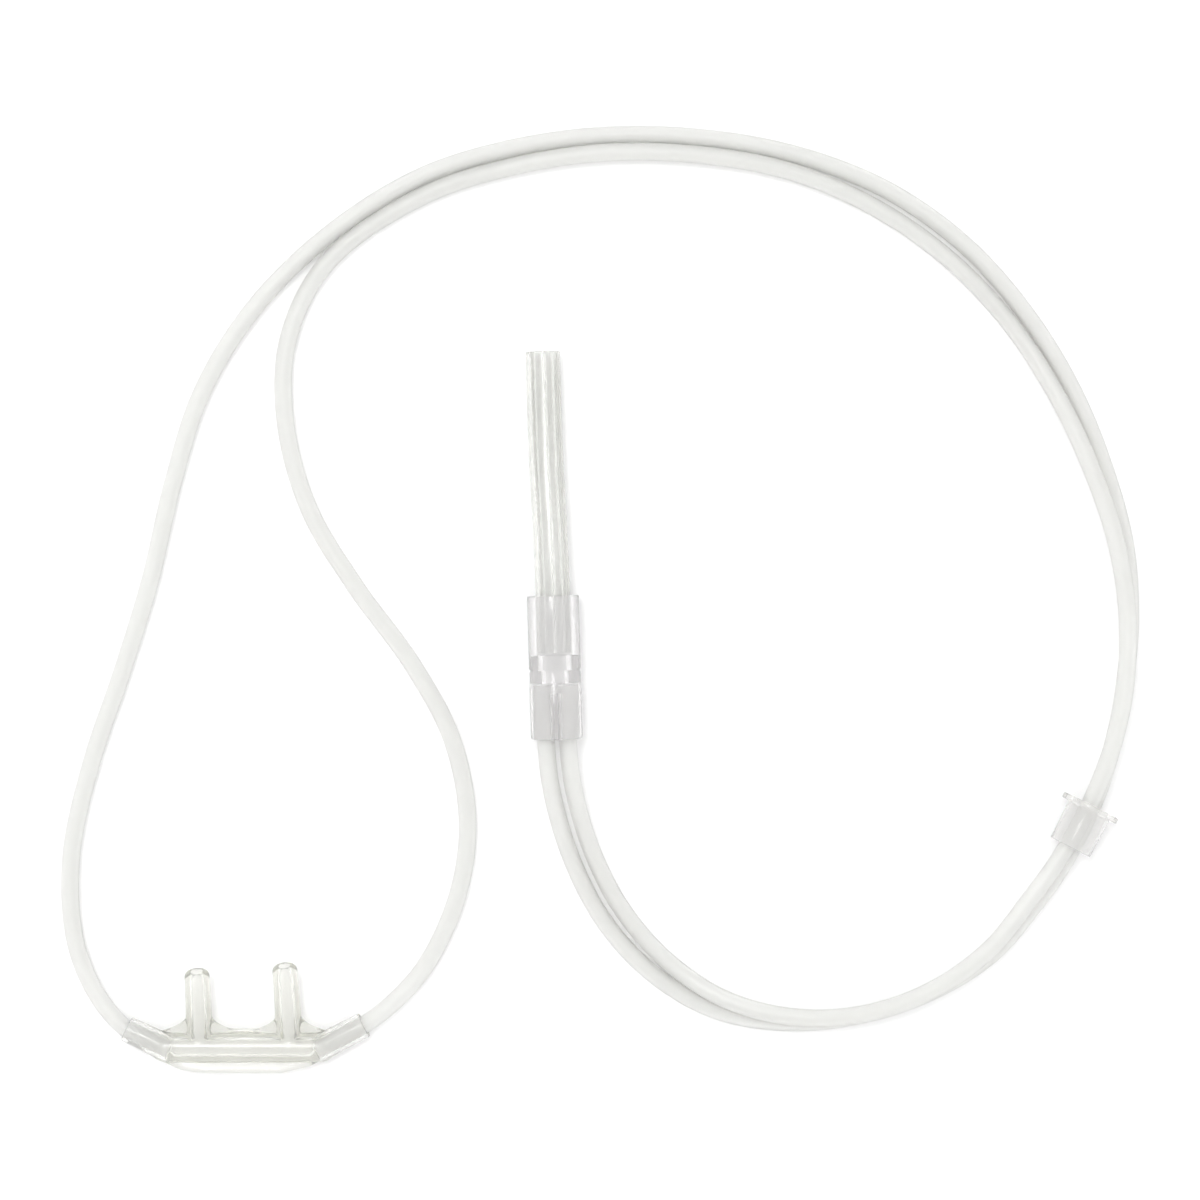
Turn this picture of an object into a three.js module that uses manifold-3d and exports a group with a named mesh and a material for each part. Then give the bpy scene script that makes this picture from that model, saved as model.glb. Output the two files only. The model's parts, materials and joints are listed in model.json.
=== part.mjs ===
import * as THREE from "three";
import { mergeVertices } from "three/addons/utils/BufferGeometryUtils.js";
import Module from "manifold-3d";

// A nasal oxygen cannula lying on a level floor, in millimetres.
// The nasal piece lies along X with its prongs towards +Y, and +Z is up.
// The origin is on its flat underside, midway between the prongs.

const wasm = await Module();
wasm.setup();

// Thin tubes that run from the nasal piece round to the connector.
const lumenDiameter = 3.3;
const lumenWall = 0.55;
const lumenSides = 8;

// Wide supply tube with ribs inside it, so that a kink never shuts it.
const supplyDiameter = 6.5;
const supplyWall = 0.95;
const supplyRibHeight = 0.6;
const supplyRibs = 6;
const supplySides = 12;

// Clearances: round a tube in its socket, and between the two tubes of the pair.
const socketClearance = 0.2;
const pairClearance = 0.25;

// Nasal piece.
const prongBore = 2.3;
const prongWall = 1.175;
const prongSpacing = 16.9;
const prongReach = 15.5;
const prongTipTilt = 20;
const manifoldBore = 2.8;
const manifoldWall = 1.4;
const shoulderLength = 6.35;
const footDepth = 0.2;
const sleeveWall = 0.5;
const sleeveLength = 8.6;
const sleeveAngle = 28;
const sleeveOverrun = 1.2;
const webThickness = 1.3;
const webReach = 0.35;
const webClimb = 3;
const webSpread = 3.4;
const lipDepth = 1.9;
const lipTaper = 3.8;

// Connector that joins the two thin tubes to the supply tube.
const connectorWall = 1;
const connectorLength = 27;
const connectorChamfer = 0.3;
const supplySocketDepth = 11;
const lumenSocketDepth = 10.4;
const socketWeb = 0.4;
const passageDiameter = 3.8;
const grooveFromTop = 13.6;
const grooveWidth = 0.8;
const grooveDepth = 0.25;
const connectorFoot = new THREE.Vector2(59.2, 58.1);
const connectorTilt = 1.6;

// Slider on the pair of thin tubes, with a flange round its upper end.
const sliderLength = 8.8;
const sliderWall = 0.525;
const sliderTaper = 0.15;
const sliderClearance = 0.3;
const sliderEndRound = 0.35;
const flangeReach = 1.4;
const flangeThickness = 1.05;

// The slider travels round an arc of the pair: its centre, its radius and the slider's place on it.
const arcCentre = new THREE.Vector2(84.2, 79.2);
const arcRadius = 82.4;
const sliderAngle = -27;

// Space left between the end of a tube and the bottom of its socket.
const socketFloorGap = 0.4;

// Sizes that follow from those above.
const lumenRadius = lumenDiameter / 2;
const lumenBoreRadius = lumenRadius + socketClearance;
const supplyRadius = supplyDiameter / 2;
const supplySocketRadius = supplyRadius + socketClearance;
const pairSpacing = lumenDiameter + pairClearance;
const prongRadius = prongBore / 2 + prongWall;
const manifoldRadius = manifoldBore / 2 + manifoldWall;
const manifoldHalf = prongSpacing / 2 + shoulderLength;
const manifoldHeight = manifoldRadius - footDepth;
const sleeveRadius = lumenBoreRadius + sleeveWall;
const sleeveTurn = THREE.MathUtils.degToRad(sleeveAngle);
const socketSpacing = 2 * lumenBoreRadius + socketWeb;
const connectorRadius = Math.max(socketSpacing / 2 + lumenBoreRadius, supplySocketRadius) + connectorWall;
const connectorTurn = THREE.MathUtils.degToRad(connectorTilt);
const sliderBoreRadius = (pairSpacing + lumenDiameter) / 2 + sliderClearance;
const sliderRadius = sliderBoreRadius + sliderWall;
const flangeRadius = sliderRadius + flangeReach;
const sliderTurn = THREE.MathUtils.degToRad(sliderAngle);

const roundSegments = 24;
const prongSteps = 6;
const lowerThanEverything = 20;

// Joining and cutting solids.

function solidOf(geometry, matrix = new THREE.Matrix4()) {
  const bare = new THREE.BufferGeometry();
  bare.setAttribute("position", geometry.getAttribute("position").clone());
  if (geometry.index) bare.setIndex(geometry.index.clone());
  bare.applyMatrix4(matrix);
  const merged = mergeVertices(bare, 1e-4);
  const mesh = new wasm.Mesh({
    numProp: 3,
    vertProperties: new Float32Array(merged.attributes.position.array),
    triVerts: new Uint32Array(merged.index.array),
  });
  return new wasm.Manifold(mesh);
}

function geometryOf(solid) {
  const mesh = solid.getMesh();
  const geometry = new THREE.BufferGeometry();
  geometry.setAttribute("position", new THREE.BufferAttribute(mesh.vertProperties.slice(), 3));
  geometry.setIndex(new THREE.BufferAttribute(mesh.triVerts.slice(), 1));
  geometry.computeVertexNormals();
  return geometry;
}

function joined(solids) {
  return solids.reduce((all, solid) => all.add(solid));
}

// A round bar between two points.
function bar(from, to, radius) {
  const along = to.clone().sub(from);
  const middle = from.clone().add(to).multiplyScalar(0.5);
  const turn = new THREE.Quaternion().setFromUnitVectors(
    new THREE.Vector3(0, 1, 0),
    along.clone().normalize(),
  );
  const place = new THREE.Matrix4().compose(middle, turn, new THREE.Vector3(1, 1, 1));
  const rod = new THREE.CylinderGeometry(radius, radius, along.length(), roundSegments);
  return solidOf(rod, place);
}

function ball(centre, radius) {
  const place = new THREE.Matrix4().makeTranslation(centre);
  return solidOf(new THREE.SphereGeometry(radius, roundSegments, roundSegments / 2), place);
}

// Sections and routes of tubes.

function polygon(sides, radiusAt, PathType = THREE.Shape) {
  const path = new PathType();
  const points = [];
  for (let i = 0; i < sides; i += 1) {
    const angle = ((i + 0.5) / sides) * 2 * Math.PI;
    const radius = radiusAt(i);
    points.push(new THREE.Vector2(radius * Math.cos(angle), radius * Math.sin(angle)));
  }
  path.setFromPoints(points);
  return path;
}

// A smooth route that is swept with one step from each chosen point to the next.
class Route extends THREE.CatmullRomCurve3 {
  constructor(points) {
    super(points, false, "centripetal");
  }

  getPointAt(u, target) {
    return this.getPoint(u, target);
  }

  getTangentAt(u, target) {
    return this.getTangent(u, target);
  }
}

function sweep(section, points) {
  const route = new Route(points);
  return new THREE.ExtrudeGeometry(section, {
    steps: points.length - 1,
    extrudePath: route,
    bevelEnabled: false,
  });
}

function lumenSection() {
  const section = polygon(lumenSides, () => lumenRadius);
  section.holes.push(polygon(lumenSides, () => lumenRadius - lumenWall, THREE.Path));
  return section;
}

function supplySection() {
  const section = polygon(supplySides, () => supplyRadius);
  const boreRadius = supplyRadius - supplyWall;
  const starRadius = (i) => (i % 2 ? boreRadius - supplyRibHeight : boreRadius);
  section.holes.push(polygon(2 * supplyRibs, starRadius, THREE.Path));
  return section;
}

// Nasal piece: a hollow manifold with two prongs, two sleeves, a web between them and a lip below.

function junction(side) {
  return new THREE.Vector3(side * manifoldHalf, 0, manifoldHeight);
}

// The point on a sleeve's axis at a distance from the junction, outwards when positive.
function onSleeve(side, distance) {
  const out = new THREE.Vector3(side * Math.cos(sleeveTurn), Math.sin(sleeveTurn), 0);
  return junction(side).addScaledVector(out, distance);
}

// A prong leaves the manifold along +Y and bends up to its tip.
function prongPoints(side, from, beyond) {
  const tilt = THREE.MathUtils.degToRad(prongTipTilt);
  const bendRadius = prongReach / Math.sin(tilt);
  const points = [];
  for (let i = 0; i <= prongSteps; i += 1) {
    const angle = (tilt * i) / prongSteps;
    const y = bendRadius * Math.sin(angle);
    const z = manifoldHeight + bendRadius * (1 - Math.cos(angle));
    points.push(new THREE.Vector3((side * prongSpacing) / 2, y, z));
  }
  points[0].y += from;
  points[prongSteps].y += beyond * Math.cos(tilt);
  points[prongSteps].z += beyond * Math.sin(tilt);
  return points;
}

function webOutline() {
  const half = prongSpacing / 2;
  const top = manifoldRadius + webReach;
  const climb = top + webClimb;
  const inner = half - prongRadius;
  const outer = half + prongRadius;
  const lip = -manifoldRadius - lipDepth;
  const lipEnd = manifoldHalf - lipTaper;
  const shape = new THREE.Shape();
  shape.moveTo(-manifoldHalf, -manifoldRadius * 0.8);
  shape.lineTo(-lipEnd, lip);
  shape.lineTo(lipEnd, lip);
  shape.lineTo(manifoldHalf, -manifoldRadius * 0.8);
  shape.lineTo(manifoldHalf, top);
  shape.lineTo(outer + webSpread, top);
  shape.quadraticCurveTo(outer, top, outer - webThickness, climb);
  shape.lineTo(inner + webThickness, climb);
  shape.quadraticCurveTo(inner, top, inner - webSpread, top);
  shape.lineTo(-inner + webSpread, top);
  shape.quadraticCurveTo(-inner, top, -inner - webThickness, climb);
  shape.lineTo(-outer + webThickness, climb);
  shape.quadraticCurveTo(-outer, top, -outer - webSpread, top);
  shape.lineTo(-manifoldHalf, top);
  shape.closePath();
  return shape;
}

function nasalPiece() {
  const circle = (radius) => polygon(roundSegments, () => radius);
  const prongTube = (side, radius, beyond) =>
    solidOf(sweep(circle(radius), prongPoints(side, 0, beyond)));
  const web = new THREE.ExtrudeGeometry(webOutline(), {
    depth: webThickness,
    curveSegments: 6,
    bevelEnabled: false,
  });
  const webPlace = new THREE.Matrix4().makeTranslation(0, 0, manifoldHeight - webThickness / 2);
  const body = [
    bar(junction(-1), junction(1), manifoldRadius),
    solidOf(web, webPlace),
  ];
  const hollow = [bar(junction(-1), junction(1), manifoldBore / 2)];
  for (const side of [-1, 1]) {
    body.push(ball(junction(side), manifoldRadius));
    body.push(bar(junction(side), onSleeve(side, sleeveLength), sleeveRadius));
    body.push(prongTube(side, prongRadius, 0));
    hollow.push(ball(junction(side), manifoldBore / 2));
    hollow.push(bar(onSleeve(side, -sleeveOverrun), onSleeve(side, sleeveLength + 1), lumenBoreRadius));
    hollow.push(prongTube(side, prongBore / 2, 1));
  }
  const ground = new THREE.BoxGeometry(
    4 * manifoldHalf,
    4 * manifoldHalf,
    lowerThanEverything,
  );
  const groundPlace = new THREE.Matrix4().makeTranslation(0, 0, -lowerThanEverything / 2);
  return geometryOf(
    joined(body).subtract(joined(hollow)).subtract(solidOf(ground, groundPlace)),
  );
}

// Connector: a round body with one wide socket at the top and two narrow ones at the bottom.

const connectorBase = new THREE.Vector3(connectorFoot.x, connectorFoot.y, connectorRadius);
const connectorUp = new THREE.Vector3(-Math.sin(connectorTurn), Math.cos(connectorTurn), 0);
const connectorSide = new THREE.Vector3(connectorUp.y, -connectorUp.x, 0);

function inConnector(along, aside = 0) {
  return connectorBase
    .clone()
    .addScaledVector(connectorUp, along)
    .addScaledVector(connectorSide, aside);
}

function connector() {
  const grooveTop = connectorLength - grooveFromTop;
  const profile = [
    [0, 0],
    [connectorRadius - connectorChamfer, 0],
    [connectorRadius, connectorChamfer],
    [connectorRadius, grooveTop - grooveWidth],
    [connectorRadius - grooveDepth, grooveTop - grooveWidth / 2],
    [connectorRadius, grooveTop],
    [connectorRadius, connectorLength - connectorChamfer],
    [connectorRadius - connectorChamfer, connectorLength],
    [0, connectorLength],
  ].map(([r, y]) => new THREE.Vector2(r, y));
  const place = new THREE.Matrix4()
    .makeRotationZ(connectorTurn)
    .setPosition(connectorBase);
  const body = solidOf(new THREE.LatheGeometry(profile, roundSegments + 8), place);
  const socketFloor = connectorLength - supplySocketDepth;
  const passageFoot = lumenSocketDepth - passageDiameter / 2;
  const hollow = joined([
    bar(inConnector(socketFloor), inConnector(connectorLength + 1), supplySocketRadius),
    bar(inConnector(passageFoot), inConnector(socketFloor + 1), passageDiameter / 2),
    bar(inConnector(-1, -socketSpacing / 2), inConnector(lumenSocketDepth, -socketSpacing / 2), lumenBoreRadius),
    bar(inConnector(-1, socketSpacing / 2), inConnector(lumenSocketDepth, socketSpacing / 2), lumenBoreRadius),
  ]);
  return geometryOf(body.subtract(hollow));
}

// Slider: a flanged sleeve whose axis follows the arc of the pair, with the flange on the floor.

const sliderSagitta = arcRadius - Math.sqrt(arcRadius ** 2 - (sliderLength / 2) ** 2);

function slider() {
  const far = sliderRadius - sliderTaper;
  const profile = [
    [sliderBoreRadius, 0],
    [far - sliderEndRound, 0],
    [far, sliderEndRound],
    [sliderRadius, sliderLength - flangeThickness],
    [flangeRadius, sliderLength - flangeThickness],
    [flangeRadius, sliderLength],
    [sliderBoreRadius, sliderLength],
    [sliderBoreRadius, 0],
  ].map(([r, y]) => new THREE.Vector2(r, y - sliderLength / 2));
  const geometry = new THREE.LatheGeometry(profile, roundSegments + 8);
  const reach = arcRadius - sliderSagitta / 2;
  const x = arcCentre.x + reach * Math.cos(sliderTurn);
  const y = arcCentre.y + reach * Math.sin(sliderTurn);
  geometry.rotateZ(sliderTurn);
  geometry.translate(x, y, flangeRadius);
  return geometry;
}

// Route of the pair, from the connector round to where the two tubes part.
// Each row is x, y, roll, rise and spread: roll in degrees from side by side (0) to stacked (90),
// rise the share of the way from lying on the floor up to the piece that holds the pair there,
// and spread the share of the way from touching to as far apart as the connector's sockets.
const pairByConnector = [
  [60.2, 49.0, 0, 0.62, 1],
  [63.8, 36.4, 0, 0.08, 1],
  [69.9, 24.6, 0, 0, 0.9],
  [78.6, 15.0, 8, 0, 0.3],
  [90.0, 8.0, 38, 0, 0],
  [103.7, 5.2, 66, 0, 0],
  [117.6, 6.4, 82, 0, 0],
];
const pairBySlider = [
  [130.6, 11.1, 78, 0.15, 0],
  [141.0, 18.5, 66, 0.75, 0],
  [148.24, 27.34, 60, 1, 0],
  [153.31, 34.32, 62, 1, 0],
  [157.62, 41.79, 68, 1, 0],
  [161.13, 49.67, 75, 1, 0],
  [163.79, 57.87, 82, 1, 0],
  [165.9, 68.0, 84, 0.75, 0],
  [166.9, 81.0, 73, 0.15, 0],
];
const pairByItself = [
  [165.5, 94.8, 56, 0, 0],
  [161.2, 109.2, 40, 0, 0],
  [155.0, 123.5, 20, 0, 0],
  [146.4, 137.3, 0, 0, 0],
  [134.9, 149.9, 0, 0, 0.8],
  [120.6, 160.0, 0, 0, 0.8],
  [103.8, 166.8, 10, 0, 0],
  [85.6, 170.0, 16, 0, 0],
  [67.0, 170.3, 16, 0, 0],
  [48.6, 167.4, 6, 0, 0],
  [32.9, 162.1, 0, 0, 0],
];

// After the tubes part, each has a route of its own to its sleeve: x, y and height above lying.
const leftRoute = [
  [15.4, 152.8, 0],
  [1.9, 139.4, 0],
  [-7.9, 123.5, 0],
  [-13.5, 105.9, 0],
  [-17.6, 88.3, 0],
  [-23.1, 70.3, 0],
  [-28.9, 53.1, 0],
  [-32.6, 35.6, 0],
  [-31.8, 19.9, 0],
  [-27.6, 9.8, 0.5],
];
const rightRoute = [
  [15.8, 148.1, 0],
  [8.4, 133.5, 0],
  [7.9, 117.8, 0],
  [12.3, 101.6, 0],
  [21.0, 87.0, 0],
  [32.0, 71.9, 0],
  [39.5, 57.6, 0],
  [42.3, 42.1, 0],
  [40.4, 28.4, 0],
  [34.8, 15.9, 0.1],
  [29.4, 9.4, 0.5],
];

// One tube's points along the pair: side is -1 for the outer tube and 1 for the inner one.
function pairPoints(side) {
  const rows = [...pairByConnector, ...pairBySlider, ...pairByItself];
  const holder = (row) => (pairBySlider.includes(row) ? flangeRadius : connectorRadius);
  return rows.map((row, i) => {
    const [x, y, rollDegrees, rise, spread] = row;
    const roll = THREE.MathUtils.degToRad(rollDegrees);
    const spacing = pairSpacing + spread * (socketSpacing - pairSpacing);
    const before = rows[i - 1] ?? [connectorBase.x, connectorBase.y];
    const after = rows[i + 1] ?? row;
    const along = new THREE.Vector2(after[0] - before[0], after[1] - before[1]).normalize();
    const lying = lumenRadius + (spacing / 2) * Math.sin(roll);
    const middle = lying + rise * (holder(row) - lying);
    const aside = (side * spacing * Math.cos(roll)) / 2;
    const up = (side * spacing * Math.sin(roll)) / 2;
    return new THREE.Vector3(x - aside * along.y, y + aside * along.x, middle + up);
  });
}

function lumenPoints(pairSide, ownRoute, sleeveSide) {
  const own = ownRoute.map(([x, y, up]) => new THREE.Vector3(x, y, lumenRadius + up));
  const aside = (pairSide * socketSpacing) / 2;
  return [
    inConnector(lumenSocketDepth - socketFloorGap, aside),
    inConnector(0, aside),
    ...pairPoints(pairSide),
    ...own,
    onSleeve(sleeveSide, sleeveLength),
    onSleeve(sleeveSide, socketFloorGap - sleeveOverrun),
  ];
}

// The supply tube leaves the connector, comes down to the floor and ends cut square.
const supplyRoute = [
  [57.9, 98.0, 0.72],
  [57.2, 110.0, 0.2],
  [56.8, 121.0, 0],
  [56.5, 131.0, 0],
];

function supplyPoints() {
  const rows = supplyRoute.map(([x, y, rise]) => {
    const height = supplyRadius + rise * (connectorRadius - supplyRadius);
    return new THREE.Vector3(x, y, height);
  });
  return [
    inConnector(connectorLength - supplySocketDepth + socketFloorGap),
    inConnector(connectorLength),
    ...rows,
  ];
}

// Materials and the finished group.

function clearPlastic(colour, roughness) {
  return new THREE.MeshStandardMaterial({ color: colour, roughness, metalness: 0 });
}

const pieces = {
  nasal_piece: [nasalPiece(), clearPlastic("#e4e5d3", 0.15)],
  left_lumen_tube: [sweep(lumenSection(), lumenPoints(-1, leftRoute, -1)), clearPlastic("#e6e8e2", 0.3)],
  right_lumen_tube: [sweep(lumenSection(), lumenPoints(1, rightRoute, 1)), clearPlastic("#e6e8e2", 0.3)],
  tube_slider: [slider(), clearPlastic("#e5e2de", 0.15)],
  y_connector: [connector(), clearPlastic("#e0dcda", 0.1)],
  supply_tube: [sweep(supplySection(), supplyPoints()), clearPlastic("#e6e8e0", 0.25)],
};

const cannula = new THREE.Group();
for (const [name, [geometry, material]] of Object.entries(pieces)) {
  const mesh = new THREE.Mesh(geometry, material);
  mesh.name = name;
  cannula.add(mesh);
}

export default cannula;
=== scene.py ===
# %% [markdown]
# # A nasal oxygen cannula in clear plastic
# Everything here is clear: thin tubes, a soft nasal piece, a hard connector and a slider.
# Clear things are drawn by what shows through them, so each one is built with its real
# wall, bore and clearances, and the light does the rest.
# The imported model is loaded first. It says where each piece goes, in metres, with +Z up.

# %% Load the frame
import json
import math

import bmesh
import bpy
from mathutils import Matrix, Vector

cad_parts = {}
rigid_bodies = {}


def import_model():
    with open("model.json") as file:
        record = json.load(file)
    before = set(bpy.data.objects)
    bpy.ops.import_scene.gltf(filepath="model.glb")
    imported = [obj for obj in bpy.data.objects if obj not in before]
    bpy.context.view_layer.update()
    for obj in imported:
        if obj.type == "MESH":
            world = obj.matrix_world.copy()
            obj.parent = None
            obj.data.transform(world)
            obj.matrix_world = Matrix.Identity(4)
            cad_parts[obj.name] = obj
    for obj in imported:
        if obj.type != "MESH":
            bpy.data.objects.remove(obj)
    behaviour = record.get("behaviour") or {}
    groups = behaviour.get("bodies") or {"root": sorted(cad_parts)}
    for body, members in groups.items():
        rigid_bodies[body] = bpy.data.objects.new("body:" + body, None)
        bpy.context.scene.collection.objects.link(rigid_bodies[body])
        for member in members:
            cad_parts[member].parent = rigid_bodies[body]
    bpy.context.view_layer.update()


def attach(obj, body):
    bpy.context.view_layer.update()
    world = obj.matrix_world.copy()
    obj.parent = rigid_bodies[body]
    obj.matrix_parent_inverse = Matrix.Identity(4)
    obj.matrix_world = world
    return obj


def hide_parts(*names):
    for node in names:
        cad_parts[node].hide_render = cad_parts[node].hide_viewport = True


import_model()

# %% [markdown]
# ## Camera
# The cannula is seen from straight above, on a table. A long lens keeps the tubes parallel,
# and the height follows from the width of table that the picture takes in.

# %% Camera
MM = 0.001
LENS = 100
SENSOR = 36
SEEN_WIDTH = 226.4 * MM
SEEN_CENTRE = (67.3 * MM, 84.3 * MM)
TUBE_LEVEL = 2.5 * MM
scene = bpy.context.scene
camera = bpy.data.objects.new("camera", bpy.data.cameras.new("camera"))
camera.data.lens = LENS
camera.data.sensor_width = SENSOR
camera.location = (*SEEN_CENTRE, SEEN_WIDTH * LENS / SENSOR + TUBE_LEVEL)
scene.collection.objects.link(camera)
scene.camera = camera
print("camera height", round(camera.location.z, 4), "m")

# %% [markdown]
# ## Routes of the tubes
# A cord is a fixed length of something flexible, so its centreline comes before its shape.
# The rows say how the pair lies: x, y, the roll of the pair from side by side to stacked,
# how far it is lifted towards the piece that holds it, and how far its tubes have spread
# from touching to the spacing of their two sockets.

# %% How the pair of thin tubes lies, in millimetres and degrees
LUMEN_RADIUS = 1.65
PAIR_SPACING = 3.48
SOCKET_SPACING = 4.1
CONNECTOR_RADIUS = 4.9
FLANGE_RADIUS = 5.65
pair_by_connector = [
    (60.2, 49.0, 0, 0.62, 1), (63.8, 36.4, 0, 0.08, 1), (69.9, 24.6, 0, 0, 0.9),
    (78.6, 15.0, 8, 0, 0.3), (90.0, 8.0, 38, 0, 0), (103.7, 5.2, 66, 0, 0),
    (117.6, 6.4, 82, 0, 0),
]
pair_by_slider = [
    (130.6, 11.1, 78, 0.15, 0), (141.0, 18.5, 66, 0.75, 0), (148.24, 27.34, 60, 1, 0),
    (153.31, 34.32, 62, 1, 0), (157.62, 41.79, 68, 1, 0), (161.13, 49.67, 75, 1, 0),
    (163.79, 57.87, 82, 1, 0), (165.9, 68.0, 84, 0.75, 0), (166.9, 81.0, 73, 0.15, 0),
]
pair_by_itself = [
    (165.5, 94.8, 56, 0, 0), (161.2, 109.2, 40, 0, 0), (155.0, 123.5, 20, 0, 0),
    (146.4, 137.3, 0, 0, 0), (134.9, 149.9, 0, 0, 0.8), (120.6, 160.0, 0, 0, 0.8),
    (103.8, 166.8, 10, 0, 0), (85.6, 170.0, 16, 0, 0), (67.0, 170.3, 16, 0, 0),
    (48.6, 167.4, 6, 0, 0), (32.9, 162.1, 0, 0, 0),
]
# x, y and height above lying, from where the two tubes part to the nasal piece.
left_route = [
    (15.4, 152.8, 0), (1.9, 139.4, 0), (-7.9, 123.5, 0), (-13.5, 105.9, 0),
    (-17.6, 88.3, 0), (-23.1, 70.3, 0), (-28.9, 53.1, 0), (-32.6, 35.6, 0),
    (-31.8, 19.9, 0), (-27.6, 9.8, 0.5),
]
right_route = [
    (15.8, 148.1, 0), (8.4, 133.5, 0), (7.9, 117.8, 0), (12.3, 101.6, 0),
    (21.0, 87.0, 0), (32.0, 71.9, 0), (39.5, 57.6, 0), (42.3, 42.1, 0),
    (40.4, 28.4, 0), (34.8, 15.9, 0.1), (29.4, 9.4, 0.5),
]
print(len(pair_by_connector + pair_by_slider + pair_by_itself), "rows for the pair")

# %% [markdown]
# The two moulded ends fix the rest. The connector stands at a small tilt, so a point in it
# is given by how far it is along its axis and aside of it. A sleeve of the nasal piece
# points outwards and up the table. The piece is soft, so its two sleeves aren't quite alike.

# %% Points in the connector and on the sleeves
CONNECTOR_BASE = Vector((59.2, 58.1, CONNECTOR_RADIUS))
CONNECTOR_TURN = math.radians(1.6)
CONNECTOR_LENGTH = 27
SUPPLY_SOCKET_DEPTH = 11
LUMEN_SOCKET_DEPTH = 10.4
FLOOR_GAP = 0.4  # between a tube's end and the floor of its socket
connector_up = Vector((-math.sin(CONNECTOR_TURN), math.cos(CONNECTOR_TURN), 0))
connector_side = Vector((connector_up.y, -connector_up.x, 0))


def in_connector(along, aside=0.0):
    return CONNECTOR_BASE + connector_up * along + connector_side * aside


MANIFOLD_HALF = 14.8
MANIFOLD_HEIGHT = 2.6
SLEEVE_OVERRUN = 1.2  # how far a sleeve's bore runs on into the bar
# side: turn in degrees and length
sleeves = {-1: (25.5, 8.0), 1: (27.5, 9.1)}


def on_sleeve(side, distance):
    turn = math.radians(sleeves[side][0])
    out = Vector((side * math.cos(turn), math.sin(turn), 0))
    return Vector((side * MANIFOLD_HALF, 0, MANIFOLD_HEIGHT)) + out * distance


def sleeve_mouth(side):
    return on_sleeve(side, sleeves[side][1])


print("sleeve mouths at", sleeve_mouth(-1)[:], sleeve_mouth(1)[:])


# %% Points of one tube of the pair
def pair_points(side):
    """Centre points of one tube: side is -1 for the outer tube and 1 for the inner one."""
    rows = pair_by_connector + pair_by_slider + pair_by_itself
    points = []
    for i, (x, y, roll, rise, spread) in enumerate(rows):
        roll = math.radians(roll)
        spacing = PAIR_SPACING + spread * (SOCKET_SPACING - PAIR_SPACING)
        before = rows[i - 1] if i else CONNECTOR_BASE
        after = rows[i + 1] if i + 1 < len(rows) else rows[i]
        along = Vector((after[0] - before[0], after[1] - before[1])).normalized()
        held = FLANGE_RADIUS if rows[i] in pair_by_slider else CONNECTOR_RADIUS
        lying = LUMEN_RADIUS + spacing / 2 * math.sin(roll)
        middle = lying + rise * (held - lying)
        aside = side * spacing * math.cos(roll) / 2
        lift = side * spacing * math.sin(roll) / 2
        points.append(Vector((x - aside * along.y, y + aside * along.x, middle + lift)))
    return points


def lumen_points(side, own_route):
    """One thin tube from the nasal piece to the connector."""
    aside = side * SOCKET_SPACING / 2
    points = [in_connector(LUMEN_SOCKET_DEPTH - FLOOR_GAP, aside), in_connector(0, aside)]
    points += pair_points(side)
    points += [Vector((x, y, LUMEN_RADIUS + up)) for x, y, up in own_route]
    points += [sleeve_mouth(side), on_sleeve(side, FLOOR_GAP - SLEEVE_OVERRUN)]
    return points[::-1]


# %% [markdown]
# A centripetal spline goes through every chosen point without the loops that a plain one
# makes where points are unevenly spaced. It is cut into short steps, so the bends look round.

# %% A smooth route through chosen points
STEP = 1.25


def between(p, q, a, b, t):
    return p * ((b - t) / (b - a)) + q * ((t - a) / (b - a))


def smooth_route(points):
    """Points in metres, a short step apart, on a centripetal spline through the chosen ones."""
    ends = [2 * points[0] - points[1], *points, 2 * points[-1] - points[-2]]
    route = []
    for p0, p1, p2, p3 in zip(ends, ends[1:], ends[2:], ends[3:]):
        knots = [0.0]
        for a, b in ((p0, p1), (p1, p2), (p2, p3)):
            knots.append(knots[-1] + math.sqrt((b - a).length))
        k0, k1, k2, k3 = knots
        count = max(2, round((p2 - p1).length / STEP))
        for i in range(count):
            t = k1 + (k2 - k1) * i / count
            a1, a2 = between(p0, p1, k0, k1, t), between(p1, p2, k1, k2, t)
            a3 = between(p2, p3, k2, k3, t)
            b1, b2 = between(a1, a2, k0, k2, t), between(a2, a3, k1, k3, t)
            route.append(between(b1, b2, k1, k2, t) * MM)
    route.append(points[-1] * MM)
    return route


def length_of(route):
    return sum((b - a).length for a, b in zip(route, route[1:]))


left_line = smooth_route(lumen_points(-1, left_route))
right_line = smooth_route(lumen_points(1, right_route))
print("thin tubes", round(length_of(left_line), 3), round(length_of(right_line), 3), "m")

# %% [markdown]
# ## Bending a straight tube
# A tube could be a curve with a round bevel, but that is a solid rod, and a clear rod looks
# like a lens. These tubes have a wall. Each is modelled straight, as it left the factory:
# a ring for the outside and one for the bore, each extruded and divided along its length.
# Then every vertex is carried to its place on the route. Each one keeps its straight
# position as an attribute, so a material's marks follow the tube round its bends.


# %% Carrying a straight shape on to a route
def places_on(route, roll=0.0):
    """A frame at each point of the route: x to the side, y up and z along it."""
    turned = Matrix.Rotation(roll, 4, "Z")
    places = []
    for i, point in enumerate(route):
        along = (route[min(i + 1, len(route) - 1)] - route[max(i - 1, 0)]).normalized()
        side = Vector((0, 0, 1)).cross(along).normalized()
        axes = Matrix((side, along.cross(side), along)).transposed().to_4x4()
        places.append(Matrix.Translation(point) @ axes @ turned)
    return places


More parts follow.
